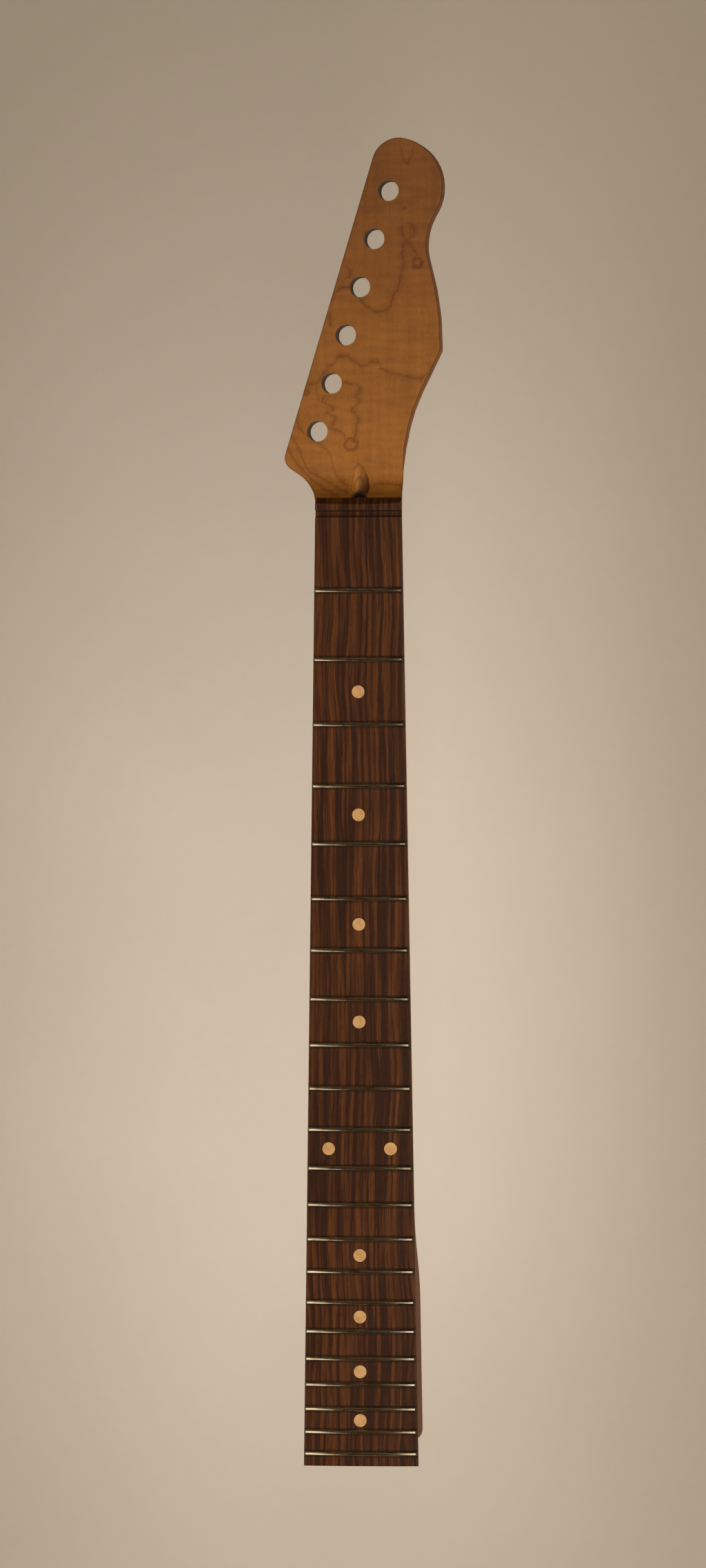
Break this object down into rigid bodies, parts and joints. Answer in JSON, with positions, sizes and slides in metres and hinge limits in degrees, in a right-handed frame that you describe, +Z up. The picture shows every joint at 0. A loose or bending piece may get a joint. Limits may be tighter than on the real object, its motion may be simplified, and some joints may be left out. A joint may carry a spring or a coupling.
{
  "type": "electric guitar neck",
  "caption": "Bolt-on electric guitar neck with a flared in-line headstock, rosewood fingerboard, dot markers, frets and a two-way truss rod; no nut or tuners fitted.",
  "frame": {"origin": "centre of the four heel-screw holes, on the heel's flat back face", "axes": "+X to the treble side, +Y along the neck to the headstock's tip, +Z up out of the fingerboard"},
  "size_m": [0.0795, 0.6615, 0.0266],
  "materials": {
    "maple": "amber-tinted satin lacquer",
    "rosewood": "oiled, open pored",
    "fret_wire": "polished nickel silver",
    "dot": "satin, levelled flush",
    "side_dot": "satin, levelled flush",
    "rod_steel": "plain steel",
    "block_brass": "plain"
  },
  "bodies": {
    "neck_assembly": {"neck": "maple", "fingerboard": "rosewood", "fret_01": "fret_wire", "fret_02": "fret_wire", "fret_03": "fret_wire", "fret_04": "fret_wire", "fret_05": "fret_wire", "fret_06": "fret_wire", "fret_07": "fret_wire", "fret_08": "fret_wire", "fret_09": "fret_wire", "fret_10": "fret_wire", "fret_11": "fret_wire", "fret_12": "fret_wire", "fret_13": "fret_wire", "fret_14": "fret_wire", "fret_15": "fret_wire", "fret_16": "fret_wire", "fret_17": "fret_wire", "fret_18": "fret_wire", "fret_19": "fret_wire", "fret_20": "fret_wire", "fret_21": "fret_wire", "fret_22": "fret_wire", "dot_03": "dot", "dot_05": "dot", "dot_07": "dot", "dot_09": "dot", "dot_12_bass": "dot", "dot_12_treble": "dot", "dot_15": "dot", "dot_17": "dot", "dot_19": "dot", "dot_21": "dot", "side_dot_03": "side_dot", "side_dot_05": "side_dot", "side_dot_07": "side_dot", "side_dot_09": "side_dot", "side_dot_12_bass": "side_dot", "side_dot_12_treble": "side_dot", "side_dot_15": "side_dot", "side_dot_17": "side_dot", "side_dot_19": "side_dot", "side_dot_21": "side_dot", "truss_bar": "rod_steel", "truss_front_block": "block_brass", "truss_rear_block": "block_brass"},
    "truss_adjuster": {"truss_rod": "rod_steel", "truss_nut": "rod_steel"}
  },
  "joints": [
    {"name": "truss_nut_turn", "type": "hinge", "parent": "neck_assembly", "child": "truss_adjuster", "pos_m": [0, 0.42995, 0.015], "axis": [0, 1, 0], "range_deg": [-360, 360]}
  ]
}
